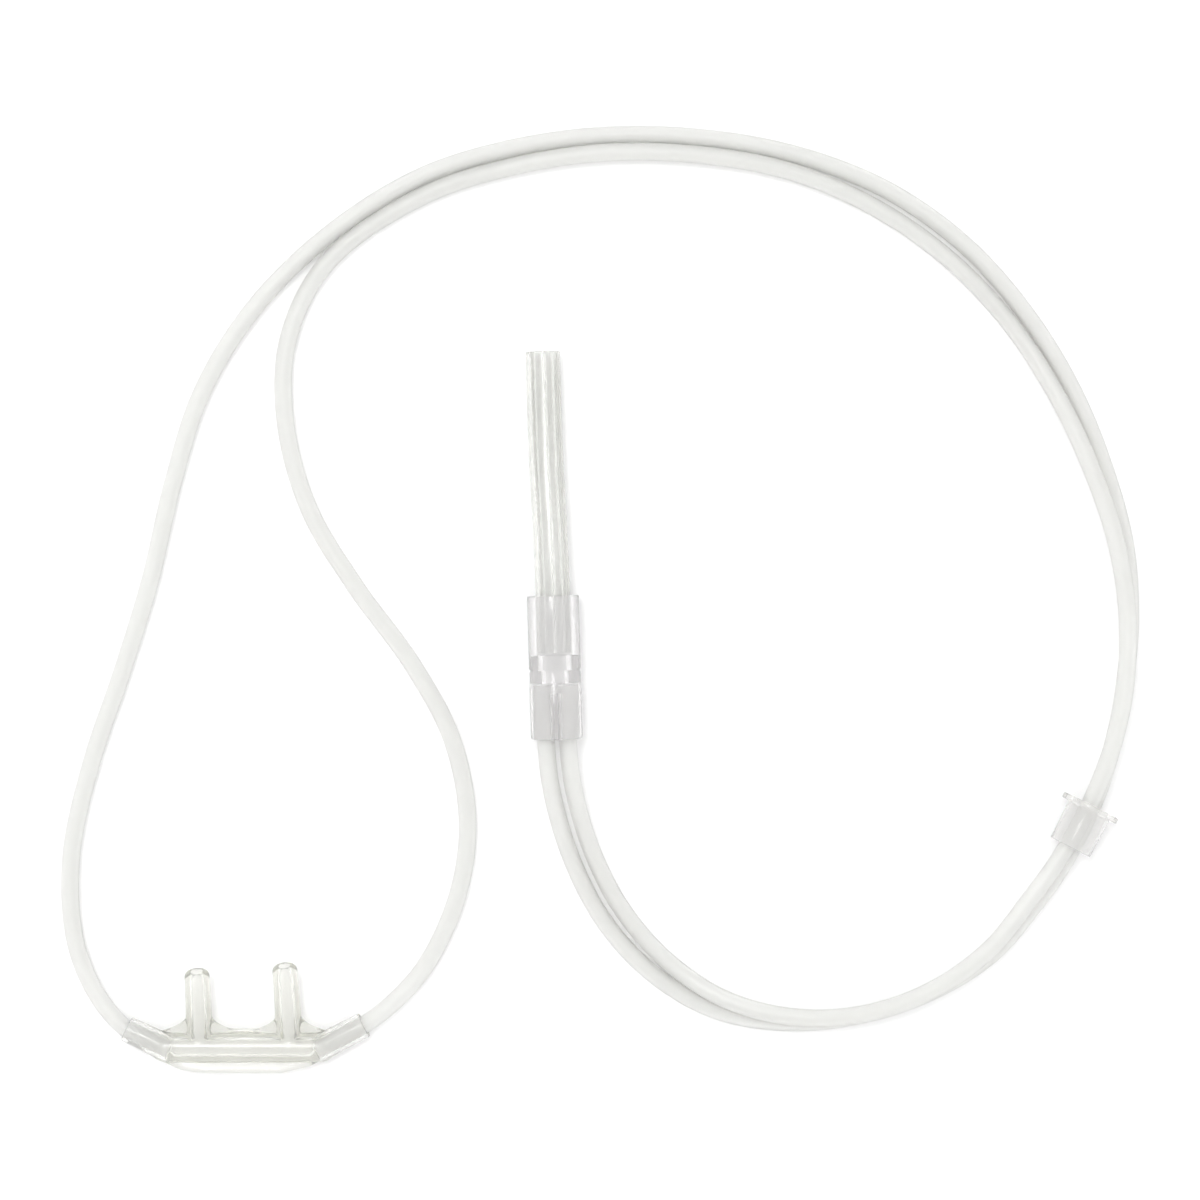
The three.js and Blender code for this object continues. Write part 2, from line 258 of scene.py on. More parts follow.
def bend(bm, route, roll=0.0):
    """Moves a shape that stands on z from 0 to 1 for each step of the route to its place."""
    straight = bm.verts.layers.float_vector.new("straight")
    places = places_on(route, roll)
    step = length_of(route) / (len(route) - 1)
    for v in bm.verts:
        x, y, z = v.co
        v[straight] = (x, y, z * step)
        i = min(max(int(z), 0), len(route) - 2)
        section = Vector((x, y, 0))
        v.co = (places[i] @ section).lerp(places[i + 1] @ section, z - i)


def ring(bm, radius_at, sides, height):
    """A closed ring of edges round z, with a radius for each of its vertices."""
    verts = bmesh.ops.create_circle(bm, segments=sides, radius=1)["verts"]
    for i, v in enumerate(verts):
        v.co = v.co * radius_at(i) + Vector((0, 0, height))
    return list({e for v in verts for e in v.link_edges})


def ring_wall(bm, radius_at, sides, steps, inset=0.0):
    """A straight wall round z, one unit high for each step, and the edges of its two ends."""
    low = ring(bm, radius_at, sides, inset)
    made = bmesh.ops.extrude_edge_only(bm, edges=low)["geom"]
    top = {v for v in made if isinstance(v, bmesh.types.BMVert)}
    bmesh.ops.translate(bm, verts=list(top), vec=(0, 0, steps - 2 * inset))
    edges = [e for v in top for e in v.link_edges]
    high = list({e for e in edges if top.issuperset(e.verts)})
    rising = list({e for e in edges if not top.issuperset(e.verts)})
    bmesh.ops.subdivide_edges(bm, edges=rising, cuts=steps - 1, use_grid_fill=True)
    return low, high


# %% [markdown]
# Every piece ends the same way: normals turned outwards, smooth shading with the real
# corners kept sharp, and an object that stays at the origin with its place in its mesh.
# A long bent tube can still come out inside out, and a clear one then looks dark, so the
# signed volume is tested too.


# %% Making an object of a bmesh
def piece_of(bm, name, sharp=35):
    bmesh.ops.recalc_face_normals(bm, faces=bm.faces)
    if bm.calc_volume(signed=True) < 0:
        bmesh.ops.reverse_faces(bm, faces=bm.faces)
    mesh = bpy.data.meshes.new(name)
    bm.to_mesh(mesh)
    bm.free()
    mesh.shade_smooth()
    mesh.set_sharp_from_angle(angle=math.radians(sharp))
    obj = bpy.data.objects.new(name, mesh)
    scene.collection.objects.link(obj)
    return obj


def report(obj):
    obj.data.calc_loop_triangles()
    print(f"{obj.name}: {len(obj.data.loop_triangles)} triangles")


# %% [markdown]
# ## The two thin tubes
# They are soft clear vinyl, 3.3 mm across, pushed into the sleeves at one end and into the
# connector at the other. They lie as one pair round most of the loop.
# A cut end is a flat rim with slightly worn edges. A bevel could round them, but on a wall
# this thin its corners can fold over, so the rim's own rings are drawn and bridged.

# %% Thin tubes
LUMEN_WALL = 0.55
TUBE_SIDES = 28
CUT_EDGE = 0.06


def tube_piece(name, route, radius, bore_at, sides, roll=0.0):
    """A tube with a wall, whose two cut ends have slightly worn edges."""
    bm = bmesh.new()
    steps = len(route) - 1
    inset = CUT_EDGE * MM * steps / length_of(route)
    outer = ring_wall(bm, lambda i: radius * MM, sides, steps, inset)
    inner = ring_wall(bm, lambda i: bore_at(i) * MM, sides, steps, inset)
    for out, inside, height in zip(outer, inner, (0, steps)):
        rim = ring(bm, lambda i: (radius - CUT_EDGE) * MM, sides, height)
        mouth = ring(bm, lambda i: (bore_at(i) + CUT_EDGE) * MM, sides, height)
        for pair in ((out, rim), (rim, mouth), (mouth, inside)):
            bmesh.ops.bridge_loops(bm, edges=pair[0] + pair[1])
    bend(bm, route, roll)
    return piece_of(bm, name)


def lumen_bore(i):
    return LUMEN_RADIUS - LUMEN_WALL


left_tube = tube_piece("left_thin_tube", left_line, LUMEN_RADIUS, lumen_bore, TUBE_SIDES)
right_tube = tube_piece("right_thin_tube", right_line, LUMEN_RADIUS, lumen_bore, TUBE_SIDES)
for obj, line, side in ((left_tube, left_line, -1), (right_tube, right_line, 1)):
    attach(obj, "cannula")
    report(obj)
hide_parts("left_lumen_tube")
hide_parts("right_lumen_tube")

# %% [markdown]
# ## The supply tube
# Wide oxygen tubing has ribs inside, so that air still passes where it is kinked. Seen from
# above they give it one bright and one dark line. The bore is the same ring as before, with
# some of its vertices pulled inwards, and the whole section is rolled a little.

# %% Supply tube
SUPPLY_RADIUS = 3.25
SUPPLY_BORE = 2.3
RIB_HEIGHT = 0.6
RIBS = 6
SUPPLY_SIDES = 48
supply_route = [(57.9, 98.0, 0.72), (57.2, 110.0, 0.2), (56.8, 121.0, 0), (56.5, 131.0, 0)]


def ribbed_bore(i):
    """The bore's radius: a rounded rib at each sixth of the way round."""
    turn = RIBS * 2 * math.pi * i / SUPPLY_SIDES
    return SUPPLY_BORE - RIB_HEIGHT * max(0.0, math.cos(turn)) ** 3


supply_points = [in_connector(CONNECTOR_LENGTH - SUPPLY_SOCKET_DEPTH + FLOOR_GAP)]
supply_points.append(in_connector(CONNECTOR_LENGTH))
for x, y, rise in supply_route:
    z = SUPPLY_RADIUS + rise * (CONNECTOR_RADIUS - SUPPLY_RADIUS)
    supply_points.append(Vector((x, y, z)))
supply_line = smooth_route(supply_points)
supply = tube_piece(
    "wide_supply_tube", supply_line, SUPPLY_RADIUS, ribbed_bore, SUPPLY_SIDES,
    roll=math.radians(8),
)
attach(supply, "cannula")
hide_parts("supply_tube")
report(supply)
print("supply tube", round(length_of(supply_line), 4), "m")

# %% [markdown]
# ## Solid shapes to build with
# The moulded pieces are joined and cut from rods, balls and plates. Booleans on a few closed
# shapes are exact and quick, and what they leave is softened afterwards.


# %% Rods, balls and boolean steps
def rod(bm, start, end, radius, segments=48, tip=None):
    """A closed rod between two points in millimetres, tapering to tip if that is given."""
    along = (end - start) * MM
    turn = along.to_track_quat("Z", "Y").to_matrix().to_4x4()
    bmesh.ops.create_cone(
        bm, cap_ends=True, segments=segments, radius1=radius * MM,
        radius2=(radius if tip is None else tip) * MM, depth=along.length,
        matrix=Matrix.Translation((start + end) / 2 * MM) @ turn,
    )


def ball(bm, centre, radius):
    place = Matrix.Translation(centre * MM)
    bmesh.ops.create_uvsphere(bm, u_segments=48, v_segments=24, radius=radius * MM, matrix=place)


def shapes(*makers):
    """A collection with one closed object for each maker, to feed a Boolean modifier."""
    group = bpy.data.collections.new("shapes")
    scene.collection.children.link(group)
    for i, make in enumerate(makers):
        bm = bmesh.new()
        make(bm)
        bmesh.ops.recalc_face_normals(bm, faces=bm.faces)
        mesh = bpy.data.meshes.new(f"shape_{i}")
        bm.to_mesh(mesh)
        bm.free()
        group.objects.link(bpy.data.objects.new(mesh.name, mesh))
    return group


def cut(first, added=None, removed=None, finish=()):
    """first, joined with added and cut by removed, with finishing modifiers applied."""
    obj = shapes(first)
    base = obj.objects[0]
    for group, operation in ((added, "UNION"), (removed, "DIFFERENCE")):
        if group:
            step = base.modifiers.new(operation.lower(), "BOOLEAN")
            step.operation = operation
            step.operand_type = "COLLECTION"
            step.collection = group
            step.solver = "EXACT"
    for kind, values in finish:
        step = base.modifiers.new(kind.lower(), kind)
        for key, value in values.items():
            setattr(step, key, value)
    ready = base.evaluated_get(bpy.context.evaluated_depsgraph_get())
    bm = bmesh.new()
    bm.from_mesh(ready.to_mesh())
    for group in filter(None, (obj, added, removed)):
        for part in list(group.objects):
            bpy.data.objects.remove(part)
        bpy.data.collections.remove(group)
    return bm


# %% [markdown]
# ## The nasal piece
# It is one soft moulding: a hollow bar along X, a sleeve at each end, two prongs that curve
# up at their tips, flared roots, a thin web between them and a rounded lip below.
# It could be modelled face by face with a subdivision surface, but the hollow junctions make
# that slow. It is built as closed shapes, hollowed, and then remeshed in small voxels and
# smoothed, which gives every corner the soft radius of a silicone mould.

# %% Sizes of the nasal piece
MANIFOLD_RADIUS = 2.8
MANIFOLD_BORE = 1.4
SLEEVE_RADIUS = 2.35
SLEEVE_FOOT = 2.6  # its radius where it leaves the bar
LUMEN_BORE = 1.85
CHAMBER_HALF = 12.4
PRONG_FOOT = 2.55
PRONG_TIP = 2.38
PRONG_ROUNDING = 1.1
PRONG_BORE = 1.15
PAST_END = 1  # a cutter starts this far outside what it cuts
PRONG_SPACING = 16.9
WEB_TOP = 3.15
WEB_HALF = 0.6  # half its thickness
LIP_HALF = 0.55
LIP_BOTTOM = -4.7
LIP_BEAD = 0.95
# side: reach along Y, tilt of the tip in degrees, foot along X, lean towards the middle
prongs = {-1: (14.6, 21, -8.28, -0.18), 1: (15.7, 19, 8.62, 0.62)}
PRONG_STEPS = 60


def junction(side):
    return on_sleeve(side, 0)


def prong_line(side, beyond=0.0):
    """The prong's axis in metres: it leaves the bar along +Y and bends up to its tip."""
    reach, tilt, foot, lean = prongs[side]
    tilt = math.radians(tilt)
    bend = reach / math.sin(tilt)
    points = []
    for i in range(PRONG_STEPS + 1):
        gone = i / PRONG_STEPS
        angle = tilt * gone
        x = foot - side * lean * gone ** 1.5
        z = MANIFOLD_HEIGHT + bend * (1 - math.cos(angle))
        points.append(Vector((x, bend * math.sin(angle), z)) * MM)
    tip = (points[-1] - points[-2]).normalized()
    points[-1] += tip * beyond * MM
    return points


def prong_rod(side, foot, tip, beyond=0.0, rounded=0.0):
    """A closed bar along the prong's axis, tapering from foot to tip."""
    def make(bm):
        line = prong_line(side, beyond=beyond)
        steps = len(line) - 1
        for ends in ring_wall(bm, lambda i: foot * MM, 40, steps):
            bmesh.ops.edgeloop_fill(bm, edges=ends)
        for v in bm.verts:
            v.co.xy *= 1 + (tip / foot - 1) * v.co.z / steps
        if rounded:
            for v in bm.verts:
                from_tip = (steps - v.co.z) * length_of(line) / steps / MM
                into = max(0.0, rounded - from_tip) / rounded
                v.co.xy *= 1 - rounded / tip * (1 - math.sqrt(max(0.0, 1 - into ** 2)))
        bend(bm, line)
    return make


print("prong tips at", [tuple(round(v, 4) for v in prong_line(s)[-1]) for s in (-1, 1)])


# %% [markdown]
# The flared root is a short curved profile spun round the prong's axis and flattened, so it
# runs out into the web. The web and the lip are thin plates at mid height, and a round bead
# runs along the lip's edge, which makes the bright line below the bar.

# %% Flared roots
FLARE_TOP = 7.6
FLARE_HEIGHT = 4.4
FLARE_RADIUS = 2.0
FLARE_SPREAD = 4.8


def flare(side):
    """A root that widens from the prong to the bar, spun and then flattened."""
    def make(bm):
        verts = [bm.verts.new((0, FLARE_TOP, 0))]
        for i in range(13):
            u = i / 12
            radius = FLARE_RADIUS + FLARE_SPREAD * u ** 3
            verts.append(bm.verts.new((radius, FLARE_TOP - FLARE_HEIGHT * u, 0)))
        verts.append(bm.verts.new((0, 1.4, 0)))
        edges = [bm.edges.new(pair) for pair in zip(verts, verts[1:])]
        bmesh.ops.spin(
            bm, geom=verts + edges, cent=(0, 0, 0), axis=(0, 1, 0), dvec=(0, 0, 0),
            angle=2 * math.pi, steps=48, use_merge=True,
        )
        bmesh.ops.remove_doubles(bm, verts=bm.verts, dist=1e-4)
        for v in bm.verts:
            u = min(1.0, (FLARE_TOP - v.co.y) / FLARE_HEIGHT)
            v.co.z *= (FLARE_RADIUS - 0.4 * u) / (FLARE_RADIUS + FLARE_SPREAD * u ** 3)
            v.co.z += v.co.y ** 2 / 90  # follows the prong as it curves up
        place = Matrix.Translation(Vector((prongs[side][2], 0, MANIFOLD_HEIGHT)) * MM)
        bmesh.ops.transform(bm, verts=bm.verts, matrix=place @ Matrix.Scale(MM, 4))
    return make


# %% Web and lip
def plate(outline, low, high):
    """A flat plate with that outline, between two heights."""
    def make(bm):
        verts = [bm.verts.new(Vector((x, y, low)) * MM) for x, y in outline]
        for pair in zip(verts, verts[1:] + verts[:1]):
            bm.edges.new(pair)
        face = bmesh.ops.contextual_create(bm, geom=verts + list(bm.edges))["faces"]
        up = bmesh.ops.extrude_face_region(bm, geom=face)["geom"]
        top = [v for v in up if isinstance(v, bmesh.types.BMVert)]
        bmesh.ops.translate(bm, verts=top, vec=(0, 0, (high - low) * MM))
    return make


def arc(start, corner, end, count=6):
    """Points on a quadratic curve, without its last one."""
    points = []
    for i in range(count):
        t = i / count
        a, b, c = (1 - t) ** 2, 2 * t * (1 - t), t ** 2
        points.append(tuple(a * p + b * q + c * r for p, q, r in zip(start, corner, end)))
    return points


half = PRONG_SPACING / 2
PEAK = 6.2
DIP = WEB_TOP + 0.3
web_outline = [(MANIFOLD_HALF, WEB_TOP)]
web_outline += arc((half + 6.0, WEB_TOP), (half + 2.5, WEB_TOP), (half + 1.6, PEAK))
web_outline += [(half + 1.6, PEAK)]
web_outline += arc((half - 1.6, PEAK), (half - 2.5, DIP), (half - 5.6, DIP))
web_outline += [(half - 5.6, DIP)]
web_outline += [(-x, y) for x, y in web_outline[::-1]]
web_outline += [(-MANIFOLD_HALF, -1.5), (MANIFOLD_HALF, -1.5)]
lip_outline = [
    (-17.4, -0.9), (-16.6, -1.9), (-14.6, -3.0), (-11.6, -4.3), (-9.0, -4.75),
    (-6.5, LIP_BOTTOM), (7.0, LIP_BOTTOM), (9.5, -4.35), (12.4, -3.5), (15.2, -2.1),
    (16.6, -1.0),
]
# centres of the round bead that runs along the lip's edge
lip_bead = [
    (-15.4, -1.6), (-11.6, -3.35), (-7.6, -3.98), (7.0, -4.02), (12.0, -2.85), (15.2, -1.3),
]


def lip_edge(i):
    """One straight length of the bead, with a ball where it turns."""
    def make(bm):
        ends = [Vector((*p, MANIFOLD_HEIGHT)) for p in lip_bead[i:i + 2]]
        rod(bm, *ends, LIP_BEAD)
        ball(bm, ends[1], LIP_BEAD + 0.01)
    return make


print("web outline of", len(web_outline), "points")

# %% Joining, hollowing and softening the nasal piece
VOXEL = 0.2
BELOW = 10


def below_table(bm):
    """A block under the table, which cuts the underside flat where the piece rests."""
    place = Matrix.Translation((0, 0, -BELOW / 2 * MM))
    size = Matrix.Diagonal((60 * MM, 60 * MM, BELOW * MM, 1))
    bmesh.ops.create_cube(bm, size=1, matrix=place @ size)


added = shapes(
    *[lambda bm, s=s: ball(bm, junction(s), MANIFOLD_RADIUS) for s in (-1, 1)],
    *[lambda bm, s=s: rod(bm, junction(s), sleeve_mouth(s), SLEEVE_FOOT, tip=SLEEVE_RADIUS + 0.05)
      for s in (-1, 1)],
    *[prong_rod(s, PRONG_FOOT, PRONG_TIP, rounded=PRONG_ROUNDING) for s in (-1, 1)],
    *[flare(s) for s in (-1, 1)],
    plate(web_outline, MANIFOLD_HEIGHT - WEB_HALF, MANIFOLD_HEIGHT + WEB_HALF),
    plate(lip_outline, MANIFOLD_HEIGHT - LIP_HALF, MANIFOLD_HEIGHT + LIP_HALF),
    *[lip_edge(i) for i in range(len(lip_bead) - 1)],
)
removed = shapes(
    lambda bm: rod(bm, Vector((-CHAMBER_HALF, 0, MANIFOLD_HEIGHT)),
                   Vector((CHAMBER_HALF, 0, MANIFOLD_HEIGHT)), MANIFOLD_BORE),
    *[lambda bm, s=s: ball(bm, Vector((s * CHAMBER_HALF, 0, MANIFOLD_HEIGHT)),
                           MANIFOLD_BORE + 0.01) for s in (-1, 1)],
    *[lambda bm, s=s: rod(bm, on_sleeve(s, -SLEEVE_OVERRUN), on_sleeve(s, 11), LUMEN_BORE)
      for s in (-1, 1)],
    *[prong_rod(s, PRONG_BORE + 0.05, PRONG_BORE - 0.1, beyond=PAST_END) for s in (-1, 1)],
    below_table,
)
bm = cut(
    lambda bm: rod(bm, junction(-1), junction(1), MANIFOLD_RADIUS),
    added, removed,
    [
        ("REMESH", {"mode": "VOXEL", "voxel_size": VOXEL * MM, "adaptivity": 0.0}),
        ("SMOOTH", {"factor": 0.5, "iterations": 9}),
    ],
)
nasal = piece_of(bm, "nasal_moulding", sharp=180)
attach(nasal, "cannula")
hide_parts("nasal_piece")
report(nasal)

# %% [markdown]
# ## The connector
# A hard clear body, turned about its axis, with one wide socket above and two narrow ones
# below. The outline is a short profile that is spun, and its base corner is rounded on the
# profile first, because a bevel on four points is quicker than one on a finished body.

# %% Spinning a profile
SPIN_STEPS = 72


def spun(profile, place, rounded=()):
    """A closed body from a profile of (radius, height), some of whose corners are rounded."""
    def make(bm):
        verts = [bm.verts.new((r, 0, h)) for r, h in profile]
        edges = [bm.edges.new(pair) for pair in zip(verts, verts[1:])]
        for i, radius, steps in rounded:
            bmesh.ops.bevel(
                bm, geom=[verts[i]], offset=radius, offset_type="OFFSET", affect="VERTICES",
                segments=steps, profile=0.5, material=-1, clamp_overlap=False,
            )
        bmesh.ops.spin(
            bm, geom=list(bm.verts) + list(bm.edges), cent=(0, 0, 0), axis=(0, 0, 1),
            dvec=(0, 0, 0), angle=2 * math.pi, steps=SPIN_STEPS, use_merge=True,
        )
        bmesh.ops.remove_doubles(bm, verts=bm.verts, dist=1e-4)
        bmesh.ops.transform(bm, verts=bm.verts, matrix=place @ Matrix.Scale(MM, 4))
    return make


def standing(side, up, base):
    """The place of a spun body whose axis lies on the table, along up."""
    axes = Matrix((side, Vector((0, 0, -1)), up)).transposed().to_4x4()
    return Matrix.Translation(base * MM) @ axes


connector_body = spun(
    [
        (0, 0), (CONNECTOR_RADIUS, 0), (CONNECTOR_RADIUS, 9.7), (4.82, 10.0), (4.82, 12.6),
        (4.65, 13.0), (CONNECTOR_RADIUS, 13.4), (CONNECTOR_RADIUS, CONNECTOR_LENGTH),
        (0, CONNECTOR_LENGTH),
    ],
    standing(connector_side, connector_up, CONNECTOR_BASE),
    rounded=((1, 0.7, 5), (7, 0.2, 3)),
)
print("connector lies from", in_connector(0)[:], "to", in_connector(CONNECTOR_LENGTH)[:])

# %% Cutting the connector's sockets
SOCKET_FLOOR = CONNECTOR_LENGTH - SUPPLY_SOCKET_DEPTH
SUPPLY_SOCKET = 3.45
PASSAGE = 1.9
WIDE_PASSAGE = 2.35
STEP_LEVEL = 12.9  # where the passage widens towards the supply socket


def bore_in_connector(low, high, radius, aside=0.0, segments=64):
    ends = in_connector(low, aside), in_connector(high, aside)
    return lambda bm: rod(bm, *ends, radius, segments)


removed = shapes(
    bore_in_connector(SOCKET_FLOOR, CONNECTOR_LENGTH + PAST_END, SUPPLY_SOCKET),
    bore_in_connector(STEP_LEVEL, SOCKET_FLOOR + PAST_END, WIDE_PASSAGE),
    bore_in_connector(8.5, STEP_LEVEL + 0.5, PASSAGE),
    *[bore_in_connector(-PAST_END, LUMEN_SOCKET_DEPTH, LUMEN_BORE, s * SOCKET_SPACING / 2, 48)
      for s in (-1, 1)],
)
bm = cut(
    connector_body, None, removed,
    [("BEVEL", {"width": 0.1 * MM, "segments": 2, "limit_method": "ANGLE",
                "angle_limit": math.radians(50), "miter_outer": "MITER_ARC"})],
)
connector = piece_of(bm, "connector_body")
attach(connector, "cannula")
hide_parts("y_connector")
report(connector)

# %% [markdown]
# ## The slider
# A short flanged sleeve, which the wearer pushes up the pair of tubes. It is a closed
# profile spun about the tubes' direction there. It rides on its own body, so it moves
# round the arc of the pair when the joint does.

# %% Slider
ARC_CENTRE = Vector((84.2, 79.2, FLANGE_RADIUS))
ARC_RADIUS = 82.4
SLIDER_TURN = math.radians(-27)
SLIDER_LENGTH = 8.8
SLIDER_BORE = 3.725
FLANGE = 1.05  # its thickness
top = SLIDER_LENGTH / 2
sagitta = ARC_RADIUS - math.sqrt(ARC_RADIUS ** 2 - top ** 2)
out = Vector((math.cos(SLIDER_TURN), math.sin(SLIDER_TURN), 0))
along = Vector((-out.y, out.x, 0))
slider_profile = [
    (SLIDER_BORE, -top), (4.1, -top), (4.25, top - FLANGE), (FLANGE_RADIUS, top - FLANGE),
    (FLANGE_RADIUS, top), (SLIDER_BORE, top), (SLIDER_BORE, -top),
]
bm = bmesh.new()
spun(slider_profile, standing(out, along, ARC_CENTRE + out * (ARC_RADIUS - sagitta / 2)))(bm)
rims = [e for e in bm.edges if len(e.link_faces) == 2 and e.calc_face_angle() > math.radians(40)]
bmesh.ops.bevel(
    bm, geom=rims, offset=0.22 * MM, offset_type="OFFSET", affect="EDGES",
    segments=4, profile=0.5, material=-1, clamp_overlap=True,
)
slider = piece_of(bm, "slider_sleeve")
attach(slider, "slider")
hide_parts("tube_slider")
report(slider)

# %% [markdown]
# ## Materials
# All six pieces are clear plastic, and what tells them apart is haze, colour and marks.
# Two node groups do that. One is for moulded plastic: slow ripples from the mould, a fine
# grain and a few specks of dust. The other is for drawn tubing: fine lines along the tube,
# and a haze that comes and goes along it. Tint that builds up with thickness is left to
# volume absorption, so thick places go yellow-green by themselves, as they do in life.
# Two limits matter to a clean picture. The denoiser takes a surface for another kind where
# its Roughness passes about 0.27 or where a quarter of it is diffuse, and draws marks along
# that border, so each finish stays wholly on one side of both.


# %% Node helpers
SURFACE = [
    ("Color", "NodeSocketColor"), ("Roughness", "NodeSocketFloat"), ("Height", "NodeSocketFloat"),
]


def new_group(name, inputs, outputs):
    group = bpy.data.node_groups.new(name, "ShaderNodeTree")
    for title, kind, value in inputs:
        socket = group.interface.new_socket(title, in_out="INPUT", socket_type=kind)
        if value is not None:
            socket.default_value = value
    for title, kind in outputs:
        group.interface.new_socket(title, in_out="OUTPUT", socket_type=kind)
    start = group.nodes.new("NodeGroupInput")
    end = group.nodes.new("NodeGroupOutput")
    return group, start, end


def node(tree, kind, links=(), **values):
    """A node with some properties set, and its inputs linked or filled in."""
    made = tree.nodes.new(kind)
    for key, value in values.items():
        setattr(made, key, value)
    for socket, source in dict(links).items():
        if isinstance(source, bpy.types.NodeSocket):
            tree.links.new(source, made.inputs[socket])
        else:
            made.inputs[socket].default_value = source
    return made


def clear_to_cloudy(tree, start, share):
    """The colour between the group's Clear and Cloudy inputs, for that share of cloudiness."""
    mix = node(tree, "ShaderNodeMix", {"Factor": share}, data_type="RGBA")
    for title, source in (("A", "Clear"), ("B", "Cloudy")):
        socket = next(s for s in mix.inputs if s.name == title and s.type == "RGBA")
        tree.links.new(start.outputs[source], socket)
    return next(s for s in mix.outputs if s.type == "RGBA")


print("helpers ready for node groups")

# %% Moulded plastic: ripple, grain and dust
moulded, start, end = new_group(
    "moulded_clear",
    [("Vector", "NodeSocketVector", None), ("Clear", "NodeSocketColor", None),
     ("Cloudy", "NodeSocketColor", None), ("Roughness", "NodeSocketFloat", 0.05),
     ("Ripple", "NodeSocketFloat", 0.5), ("Dust", "NodeSocketFloat", 0.2)],
    SURFACE,
)
ripple = node(moulded, "ShaderNodeTexNoise",
              {"Vector": start.outputs["Vector"], "Scale": 420.0, "Detail": 2.0,
               "Roughness": 0.45})
grain = node(moulded, "ShaderNodeTexNoise",
             {"Vector": start.outputs["Vector"], "Scale": 5200.0, "Detail": 1.0})
cloud = node(moulded, "ShaderNodeTexNoise",
             {"Vector": start.outputs["Vector"], "Scale": 160.0, "Detail": 3.0})
specks = node(moulded, "ShaderNodeTexVoronoi",
              {"Vector": start.outputs["Vector"], "Scale": 900.0, "Randomness": 1.0})
dust = node(moulded, "ShaderNodeMapRange",
            {"Value": specks.outputs["Distance"], "From Min": 0.1, "From Max": 0.02,
             "To Min": 0.0, "To Max": 1.0})
dusty = node(moulded, "ShaderNodeMath",
             {0: dust.outputs["Result"], 1: start.outputs["Dust"]}, operation="MULTIPLY")
veil = node(moulded, "ShaderNodeMapRange",
            {"Value": cloud.outputs["Fac"], "From Min": 0.42, "From Max": 0.68,
             "To Min": 0.0, "To Max": 1.0})
veiled = node(moulded, "ShaderNodeMath",
              {0: veil.outputs["Result"], 1: dusty.outputs[0]}, operation="ADD", use_clamp=True)
colour = clear_to_cloudy(moulded, start, veiled.outputs[0])
rough = node(moulded, "ShaderNodeMath",
             {0: dusty.outputs[0], 1: 0.4, 2: start.outputs["Roughness"]},
             operation="MULTIPLY_ADD")
rougher = node(moulded, "ShaderNodeMath",
               {0: grain.outputs["Fac"], 1: 0.04, 2: rough.outputs[0]}, operation="MULTIPLY_ADD")
height = node(moulded, "ShaderNodeMath",
              {0: ripple.outputs["Fac"], 1: start.outputs["Ripple"]}, operation="MULTIPLY")
higher = node(moulded, "ShaderNodeMath",
              {0: grain.outputs["Fac"], 1: 0.02, 2: height.outputs[0]}, operation="MULTIPLY_ADD")
moulded.links.new(colour, end.inputs["Color"])
moulded.links.new(rougher.outputs[0], end.inputs["Roughness"])
moulded.links.new(higher.outputs[0], end.inputs["Height"])

# %% Drawn tubing: die lines and drifting haze
drawn, start, end = new_group(
    "drawn_tubing",
    [("Vector", "NodeSocketVector", None), ("Clear", "NodeSocketColor", None),
     ("Cloudy", "NodeSocketColor", None), ("Roughness", "NodeSocketFloat", 0.2)],
    SURFACE,
)
lengthwise = node(drawn, "ShaderNodeMapping",
                  {"Vector": start.outputs["Vector"], "Scale": (1.0, 1.0, 0.0)})
lines = node(drawn, "ShaderNodeTexNoise",
             {"Vector": lengthwise.outputs[0], "Scale": 2600.0, "Detail": 2.0})
drift = node(drawn, "ShaderNodeTexNoise",
             {"Vector": start.outputs["Vector"], "Scale": 75.0, "Detail": 3.0})
veil = node(drawn, "ShaderNodeMapRange",
            {"Value": drift.outputs["Fac"], "From Min": 0.35, "From Max": 0.7,
             "To Min": 0.0, "To Max": 1.0})
colour = clear_to_cloudy(drawn, start, veil.outputs["Result"])
rough = node(drawn, "ShaderNodeMath",
             {0: veil.outputs["Result"], 1: 0.08, 2: start.outputs["Roughness"]},
             operation="MULTIPLY_ADD")
drawn.links.new(colour, end.inputs["Color"])
drawn.links.new(rough.outputs[0], end.inputs["Roughness"])
drawn.links.new(lines.outputs["Fac"], end.inputs["Height"])


# %% [markdown]
# The shader itself is one Principled BSDF for each material, with high transmission. The
# small share that isn't transmitted is the milkiness of the plastic. The IOR is set a little
# below that of real vinyl, because these pieces sit in one another with an air gap, where the
# real ones are bonded, and a strong IOR turns such gaps dark.

# %% One clear plastic
def clear_plastic(name, group, values, milky, ior, absorbed, density, bump, attribute=None):
    material = bpy.data.materials.new(name)
    material.use_nodes = True
    tree = material.node_tree
    shader = tree.nodes["Principled BSDF"]
    shader.inputs["Transmission Weight"].default_value = 1 - milky
    shader.inputs["IOR"].default_value = ior
    if attribute:
        place = node(tree, "ShaderNodeAttribute", attribute_name=attribute).outputs["Vector"]
    else:
        place = node(tree, "ShaderNodeTexCoord").outputs["Object"]
    made = node(tree, "ShaderNodeGroup", node_tree=group)
    tree.links.new(place, made.inputs["Vector"])
    for socket, value in values.items():
        made.inputs[socket].default_value = value
    relief = node(tree, "ShaderNodeBump",
                  {"Height": made.outputs["Height"], "Strength": bump[0], "Distance": bump[1]})
    tree.links.new(made.outputs["Color"], shader.inputs["Base Color"])
    tree.links.new(made.outputs["Roughness"], shader.inputs["Roughness"])
    tree.links.new(relief.outputs["Normal"], shader.inputs["Normal"])
    volume = node(tree, "ShaderNodeVolumeAbsorption", {"Color": absorbed, "Density": density})
    tree.links.new(volume.outputs[0], tree.nodes["Material Output"].inputs["Volume"])
    return material


